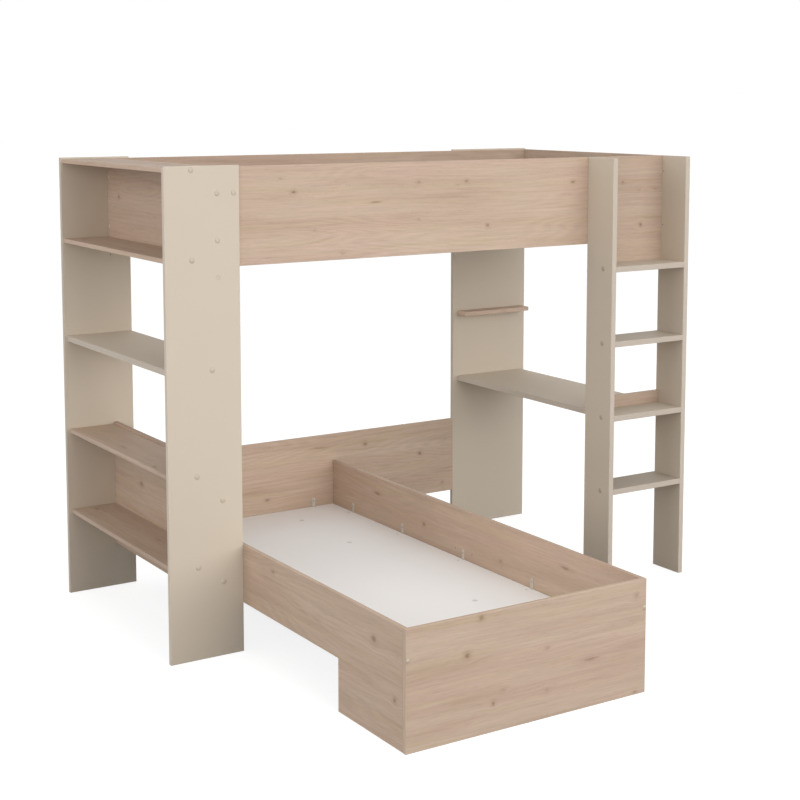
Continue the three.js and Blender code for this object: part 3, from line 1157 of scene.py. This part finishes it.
@dataclass
class LoftBed:
    """The upper bed: a box of oak-print boards round a white base on battens."""

    cam_inset: float = 0.017
    cam_shares: tuple[float, float] = (0.234, 0.788)
    front_rail_knots: tuple[Knot, ...] = (
        Knot(0.298, 0.249, 0.010, 0.006, 0.9),
        Knot(0.246, 0.298, 0.012, 0.005, 0.4),
        Knot(0.637, 0.202, 0.030, 0.004, 0.8),
        Knot(0.824, 0.269, 0.010, 0.007, 0.45),
        Knot(1.039, 0.267, 0.008, 0.006, 0.7),
        Knot(0.997, 0.254, 0.010, 0.004, 0.35),
        Knot(1.137, 0.096, 0.009, 0.008, 0.8),
        Knot(1.549, 0.249, 0.011, 0.006, 0.8),
        Knot(0.824, 0.131, 0.009, 0.005, 0.4),
        Knot(0.498, 0.022, 0.014, 0.007, 0.35),
        Knot(0.383, 0.111, 0.008, 0.004, 0.35),
    )
    left_end_knots: tuple[Knot, ...] = (
        Knot(0.824, 0.200, 0.009, 0.009, 0.9),
        Knot(0.300, 0.120, 0.010, 0.006, 0.4),
    )

    def dress(self) -> None:
        """Gives the boards their finishes."""
        # The factors given to these boards are painted shade on their faces, partly also the print's own
        # change from board to board.
        oak.dress(Board("upper_front_rail", Axis.X, Axis.Y, self.front_rail_knots))
        oak.dress(Board("upper_back_rail", Axis.X, Axis.Y, tone=0.85))
        oak.dress(Board("upper_left_end_board", Axis.Y, Axis.X, self.left_end_knots, tone=0.97))
        oak.dress(Board("upper_right_end_board", Axis.Y, Axis.X, tone=0.82))

    def build(self) -> None:
        """Builds the cam covers in the left end board."""
        board = "upper_left_end_board"
        low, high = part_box(board)
        levels = [level_in(board, share) for share in self.cam_shares]
        spots = tuple(Vector((low.x, high.y - self.cam_inset, level)) for level in levels)
        cam = cam_plastic.material()
        Fitting("left_end_cam_covers", fasteners.cam_cover(), spots, Facing.LEFT, cam).build()
        self.dress()


@dataclass
class DeskCorner:
    """The rear post panel with its desk top and ledge."""

    bolt_inset: float = 0.060

    def dress(self) -> None:
        """Gives the boards their finishes."""
        # The edge-band factors given here are painted light on the front edges.
        beige.dress(Board("rear_post_panel", Axis.Z, Axis.Y))
        beige.dress(Board("desk_top", Axis.Y, Axis.Z, band_tone=1.05))
        oak.dress(Board("ledge_shelf", Axis.X, Axis.Z, band_tone=1.15))

    def build(self) -> None:
        """Builds the cover caps in the rear of the post panel."""
        low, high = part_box("rear_post_panel")
        places = []
        for node in ("desk_top", "ledge_shelf"):
            node_low, node_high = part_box(node)
            for x in (node_low.x + self.bolt_inset, node_high.x - self.bolt_inset):
                places.append((x, middle_of(node).z))
        for share in RAIL_BOLT_SHARES:
            places.append((low.x + self.bolt_inset, level_in("upper_back_rail", share)))
        spots = tuple(Vector((x, high.y, z)) for x, z in places)
        cap = cap_plastic.material()
        sunk = fasteners.sunk_cap(fasteners.bore_radius)
        Fitting("post_rear_caps", sunk, spots, Facing.REAR, cap, "beige_melamine").build()
        self.dress()


@dataclass
class Ladder:
    """The ladder at the front right, with its back board and the low rail behind the desk step."""

    # Painted shade on the four steps, darkest on the lowest, where the steps above and the desk hang over it.
    step_tones: tuple[float, ...] = (0.73, 0.90, 0.83, 0.89)
    bolt_share: float = 0.35
    pin_reach: float = 0.0066
    pin_shares: tuple[float, float] = (0.335, 0.852)
    back_board_knots: tuple[Knot, ...] = (
        Knot(0.241, 0.147, 0.009, 0.009, 0.9),
        Knot(0.144, 0.321, 0.010, 0.006, 0.6),
        Knot(0.232, 0.286, 0.010, 0.005, 0.35),
        Knot(0.315, 0.290, 0.012, 0.005, 0.35),
    )

    def dress(self) -> None:
        """Gives the boards their finishes."""
        for side in ("left", "right"):
            beige.dress(Board(f"ladder_{side}_side", Axis.Z, Axis.X))
        # Each step gets painted shade on its faces and on its edge bands; the back board and desk rail get
        # painted shade, partly the print's own change from board to board.
        for number, tone in enumerate(self.step_tones, start=1):
            beige.dress(Board(f"ladder_step_{number}", Axis.X, Axis.Z, tone=tone, band_tone=0.94))
        oak.dress(Board("ladder_back_board", Axis.X, Axis.Y, self.back_board_knots, tone=0.89))
        oak.dress(Board("ladder_desk_rail", Axis.X, Axis.Y, tone=0.83))

    def build(self) -> None:
        """Builds the caps over the bolts of the steps, and the plugs where the sides meet the back board."""
        domed = fasteners.domed_cap(fasteners.narrow_radius)
        sunk = fasteners.sunk_cap(fasteners.narrow_radius)
        cap_finish, pin_finish = side_cap_plastic.material(), brown_plastic.material()
        board = "ladder_back_board"
        pin_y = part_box(board)[0].y - self.pin_reach
        pin_levels = [level_in(board, share) for share in self.pin_shares]
        steps = [f"ladder_step_{number}" for number in range(1, len(self.step_tones) + 1)]
        for side, outer, inner, cap in (
            ("left", Facing.LEFT, Facing.RIGHT, domed),
            ("right", Facing.RIGHT, Facing.LEFT, sunk),
        ):
            low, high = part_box(f"ladder_{side}_side")
            x_of = {Facing.LEFT: low.x, Facing.RIGHT: high.x}
            pins = tuple(Vector((x_of[inner], pin_y, level)) for level in pin_levels)
            Fitting(f"ladder_{side}_pins", fasteners.pin_plug(), pins, inner, pin_finish).build()
            y = low.y + (high.y - low.y) * self.bolt_share
            spots = tuple(Vector((x_of[outer], y, middle_of(step).z)) for step in steps)
            Fitting(f"ladder_{side}_caps", cap, spots, outer, cap_finish, "beige_melamine").build()
        self.dress()


@dataclass
class LowerBed:
    """The lower bed that lies across under the loft, with its foot end on the floor."""

    cap_height_share: float = 0.75
    rail_bottom: float = 0.176
    pin_reach: float = 0.055
    pin_rise: float = 0.030
    left_rail_knots: tuple[Knot, ...] = (
        Knot(0.165, 0.304, 0.017, 0.012, 0.8),
        Knot(0.046, 0.148, 0.010, 0.009, 0.8),
        Knot(0.818, 0.345, 0.014, 0.008, 0.6),
        Knot(1.500, 0.270, 0.014, 0.007, 0.5),
    )
    right_rail_knots: tuple[Knot, ...] = (
        Knot(1.632, 0.316, 0.030, 0.007, 0.8),
        Knot(1.283, 0.267, 0.012, 0.009, 0.8),
        Knot(0.767, 0.247, 0.010, 0.007, 0.6),
        Knot(0.387, 0.317, 0.030, 0.006, 0.7),
    )
    foot_panel_knots: tuple[Knot, ...] = (
        Knot(0.222, 0.263, 0.012, 0.011, 0.9),
        Knot(0.274, 0.372, 0.011, 0.010, 0.75),
        Knot(0.320, 0.091, 0.008, 0.009, 0.75),
        Knot(0.529, 0.229, 0.014, 0.008, 0.35),
        Knot(0.706, 0.158, 0.040, 0.006, 0.7),
        Knot(0.894, 0.335, 0.011, 0.009, 0.5),
        Knot(0.529, 0.092, 0.010, 0.007, 0.35),
        Knot(0.358, 0.127, 0.016, 0.007, 0.3),
        Knot(0.893, 0.010, 0.012, 0.006, 0.6),
    )
    rear_panel_knots: tuple[Knot, ...] = (
        Knot(1.084, 0.267, 0.013, 0.008, 0.85),
        Knot(1.370, 0.190, 0.011, 0.009, 0.85),
        Knot(0.599, 0.082, 0.014, 0.007, 0.75),
        Knot(0.858, 0.276, 0.040, 0.005, 0.45),
        Knot(1.493, 0.043, 0.012, 0.008, 0.5),
    )

    def bolt_columns(self) -> tuple[float, float]:
        """Where the bolts into the rails' ends lie along X."""
        return (middle_of("lower_left_rail").x, middle_of("lower_right_rail").x)

    def foot_bolt_level(self) -> float:
        """How high the foot panel's bolts lie."""
        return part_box("lower_foot_panel")[1].z * self.cap_height_share

    def dress(self) -> None:
        """Gives the boards their finishes."""
        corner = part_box("lower_foot_panel")[0]
        caps = tuple((x - corner.x, self.foot_bolt_level() - corner.z) for x in self.bolt_columns())
        knots = self.foot_panel_knots
        # The factors given to these boards are painted light and shade on their faces and edge bands, on the
        # faces partly also the print's own change from board to board.
        oak.dress(Board("lower_left_rail", Axis.Y, Axis.X, self.left_rail_knots, band_tone=0.94))
        oak.dress(Board("lower_right_rail", Axis.Y, Axis.X, self.right_rail_knots, tone=1.02, band_tone=0.96))
        oak.dress(Board("lower_foot_panel", Axis.X, Axis.Y, knots, tone=0.93, flush_caps=caps))
        oak.dress(Board("lower_rear_panel", Axis.X, Axis.Y, self.rear_panel_knots, tone=1.03))

    def build(self) -> None:
        """Builds the caps at the ends of the foot and rear panels, and the plugs inside the rails."""
        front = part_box("lower_foot_panel")[0].y
        spots = tuple(Vector((x, front, self.foot_bolt_level())) for x in self.bolt_columns())
        finish = foot_cap_plastic.material()
        Fitting("foot_panel_caps", fasteners.bolt_end(), spots, Facing.FRONT, finish).build()
        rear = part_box("lower_rear_panel")[1].y
        left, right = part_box("lower_left_rail"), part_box("lower_right_rail")
        middle = (left[1].z + self.rail_bottom) / 2
        spots = tuple(Vector((x, rear, middle)) for x in self.bolt_columns())
        Fitting("rear_panel_caps", fasteners.low_cap(), spots, Facing.REAR, cap_plastic.material()).build()
        batten_y = middle_of("lower_batten_3").y
        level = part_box("lower_mattress_base")[1].z + self.pin_rise
        finish = brown_plastic.material()
        for side, x, facing in (("left", left[1].x, Facing.RIGHT), ("right", right[0].x, Facing.LEFT)):
            spots = tuple(Vector((x, batten_y + reach, level)) for reach in (-self.pin_reach, self.pin_reach))
            Fitting(f"lower_{side}_rail_pins", fasteners.pin_plug(), spots, facing, finish).build()
        self.dress()


@dataclass
class MattressBase:
    """A white base sheet on cross battens, which stand on plastic angle brackets."""

    prefix: str
    along: Axis
    batten_count: int
    side_facings: tuple[Facing, Facing]
    end_bracket_count: int = 0
    end_facings: tuple[Facing, ...] = ()
    middle_plugs: tuple[int, ...] = (1, 2, 4)
    screw_inset: float = 0.0245
    end_screw_inset: float = 0.0175
    plug_share: float = 0.277
    leg_thickness: float = 0.003
    leg_screw_rise: float = 0.025

    def brackets(self) -> dict[str, Facing]:
        """The brackets and the ways that their legs look.

        Returns:
            The facing by name, the side brackets first.
        """
        rows = {}
        for kind, facings, count in (
            ("bracket", self.side_facings, self.batten_count),
            ("end_bracket", self.end_facings, self.end_bracket_count),
        ):
            for row, facing in zip("ab", facings):
                for number in range(1, count + 1):
                    rows[f"{self.prefix}_{kind}_{row}{number}"] = facing
        return rows

    def dress(self) -> None:
        """Gives the sheet, battens and brackets their finishes."""
        white.dress(Board(f"{self.prefix}_mattress_base", self.along, Axis.Z))
        for number in range(1, self.batten_count + 1):
            white.dress(Board(f"{self.prefix}_batten_{number}", self.along, Axis.Z))
        for name in self.brackets():
            wear(name, bracket_plastic.material())

    def leg_screws(self, level: float) -> None:
        """Builds the screws in the brackets' legs, one piece for each way that they look.

        Args:
            level: the height of the sheet's top.
        """
        by_facing: dict[Facing, list[Vector]] = {}
        for name, facing in self.brackets().items():
            low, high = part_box(name)
            way = facing.value
            spot = middle_of(name)
            for axis in (Axis.X.value, Axis.Y.value):
                if way[axis]:
                    board_side = low[axis] if way[axis] > 0 else high[axis]
                    spot[axis] = board_side + way[axis] * self.leg_thickness
            spot.z = level + self.leg_screw_rise
            by_facing.setdefault(facing, []).append(spot)
        for facing, spots in by_facing.items():
            name = f"{self.prefix}_bracket_screws_{facing.name.lower()}"
            Fitting(name, fasteners.pan_head(), tuple(spots), facing, zinc.material()).build()

    def build(self) -> None:
        """Builds the screws of the sheet and of the brackets, and the plugs in the sheet."""
        low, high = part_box(f"{self.prefix}_mattress_base")
        self.leg_screws(high.z)
        run, cross = self.along.value, self.along.across(Axis.Z).value
        screws, plugs = [], []
        for number in range(1, self.batten_count + 1):
            spot = middle_of(f"{self.prefix}_batten_{number}")
            spot.z = high.z
            for side in (low[cross] + self.screw_inset, high[cross] - self.screw_inset):
                spot[cross] = side
                screws.append(spot.copy())
            if number in self.middle_plugs:
                spot[cross] = high[cross] - (high[cross] - low[cross]) * self.plug_share
                plugs.append(spot)
        for name in self.brackets():
            if "_end_bracket_" in name:
                spot = middle_of(name)
                at_high_end = spot[run] > (low[run] + high[run]) / 2
                inset = self.end_screw_inset
                spot[run] = high[run] - inset if at_high_end else low[run] + inset
                spot.z = high.z
                screws.append(spot)
        for kind, part, spots, finish in (
            ("screws", fasteners.base_screw(), screws, zinc),
            ("plugs", fasteners.base_plug(), plugs, grey_plastic),
        ):
            Fitting(f"{self.prefix}_base_{kind}", part, tuple(spots), Facing.UP, finish.material()).build()
        self.dress()


@dataclass(frozen=True)
class Lamp:
    """A soft square lamp: its name, the degrees round from the front and up from level, and its power."""

    name: str
    azimuth: float
    elevation: float
    power: float

    def direction(self) -> Vector:
        """The direction from the bed to the lamp."""
        around, up = math.radians(self.azimuth), math.radians(self.elevation)
        return Vector((math.sin(around) * math.cos(up), -math.cos(around) * math.cos(up), math.sin(up)))


@dataclass
class Studio:
    """The pale floor, the soft lamps and the camera at the photograph's viewing angle."""

    position: tuple[float, float, float] = (-3.270967, -4.806489, 1.944167)
    yaw: float = 32.526
    pitch: float = 6.288
    lens: float = 70.8865
    sensor: float = 36.0
    shift: float = -0.16
    view_reach: float = 200.0
    floor_reach: float = 60.0
    floor_drop: float = 0.0005
    floor_grey: float = 0.3
    floor_pale: float = 0.9
    floor_glow: float = 1.3
    floor_shadow: float = 0.38
    ambient: float = 0.65
    lamp_size: float = 4.0
    lamp_reach: float = 7.5
    lamps: tuple[Lamp, ...] = (
        Lamp("front_lamp", 0.0, 15.0, 180.0),
        Lamp("high_front_lamp", 0.0, 50.0, 36.0),
        Lamp("right_front_lamp", 30.0, 15.0, 130.0),
        Lamp("left_front_lamp", -50.0, 15.0, 60.0),
        Lamp("left_lamp", -90.0, 15.0, 123.0),
        Lamp("top_lamp", 0.0, 89.0, 22.0),
        Lamp("rear_lamp", 150.0, 35.0, 42.0),
    )
    target: tuple[float, float, float] = (0.0, 0.0, 0.8)

    def place_camera(self) -> None:
        """Sets the camera at the photograph's place and makes it the scene's."""
        data = bpy.data.cameras.new("photo_camera")
        data.sensor_width = self.sensor
        data.lens = self.lens
        data.shift_y = self.shift
        data.clip_end = self.view_reach
        camera = add_object("photo_camera", data)
        camera.location = self.position
        camera.rotation_euler = (math.radians(90 - self.pitch), 0.0, math.radians(-self.yaw))
        bpy.context.scene.camera = camera

    def seen(self, g: NodeGraph) -> Socket:
        """1 for rays from the camera and for those that gloss or glass sends on.

        Args:
            g: the graph to add to.

        Returns:
            The socket.
        """
        path = g.add("ShaderNodeLightPath").outputs
        passed = g.math("MAXIMUM", path["Is Glossy Ray"], path["Is Transmission Ray"])
        return g.math("MAXIMUM", path["Is Camera Ray"], passed)

    def lay_floor(self) -> None:
        """Lays a white floor that keeps a faint shadow of the bed."""
        material = bpy.data.materials.new("studio_floor")
        g = empty_graph(material)
        matt = g.add("ShaderNodeBsdfDiffuse", {"Color": grey_of(self.floor_grey)}).outputs[0]
        pale = g.add("ShaderNodeBsdfDiffuse", {"Color": grey_of(self.floor_pale)}).outputs[0]
        glow = g.add("ShaderNodeEmission", {"Color": WHITE_LIGHT, "Strength": self.floor_glow}).outputs[0]
        shown = g.add("ShaderNodeMixShader", {0: self.floor_shadow, 1: glow, 2: pale}).outputs[0]
        surface = g.add("ShaderNodeMixShader", {0: self.seen(g), 1: matt, 2: shown}).outputs[0]
        g.add("ShaderNodeOutputMaterial", {"Surface": surface})
        mesh = bmesh.new()
        r = self.floor_reach
        corners = ((-r, -r), (r, -r), (r, r), (-r, r))
        mesh.faces.new([mesh.verts.new((x, y, -self.floor_drop)) for x, y in corners])
        floor = add_mesh("studio_floor", mesh, material)

    def light_room(self) -> None:
        """Sets the even light of the room, with a white background behind it."""
        world = bpy.data.worlds.new("studio_room")
        bpy.context.scene.world = world
        g = empty_graph(world)
        even, back = (
            g.add("ShaderNodeBackground", {"Color": WHITE_LIGHT, "Strength": strength}).outputs[0]
            for strength in (self.ambient, 1.0)
        )
        mixed = g.add("ShaderNodeMixShader", {0: self.seen(g), 1: even, 2: back}).outputs[0]
        g.add("ShaderNodeOutputWorld", {"Surface": mixed})

    def hang_lamps(self) -> None:
        """Hangs the soft lamps, each turned to the bed."""
        for lamp in self.lamps:
            data = bpy.data.lights.new(lamp.name, "AREA")
            data.shape = "SQUARE"
            data.size = self.lamp_size
            data.energy = lamp.power
            piece = add_object(lamp.name, data)
            piece.location = Vector(self.target) + lamp.direction() * self.lamp_reach
            piece.rotation_euler = (-lamp.direction()).to_track_quat("-Z", "Y").to_euler()

    def build(self) -> None:
        """Builds the floor, the light and the camera."""
        self.place_camera()
        self.lay_floor()
        self.light_room()
        self.hang_lamps()
        bpy.context.scene.view_settings.view_transform = "Standard"


def main() -> None:
    """Builds the bed's sub-assemblies and the studio, in order."""
    logging.basicConfig(level=logging.INFO, format="%(name)s: %(message)s")
    parts = (
        StorageTower(),
        LoftBed(),
        DeskCorner(),
        Ladder(),
        LowerBed(),
        MattressBase("upper", Axis.X, batten_count=4, side_facings=(Facing.REAR, Facing.FRONT)),
        MattressBase(
            "lower",
            Axis.Y,
            batten_count=5,
            side_facings=(Facing.RIGHT, Facing.LEFT),
            end_bracket_count=2,
            end_facings=(Facing.FRONT, Facing.REAR),
        ),
        Studio(),
    )
    for part in parts:
        part.build()
        log.info("built %s", type(part).__name__)


if __name__ == "__main__":
    main()
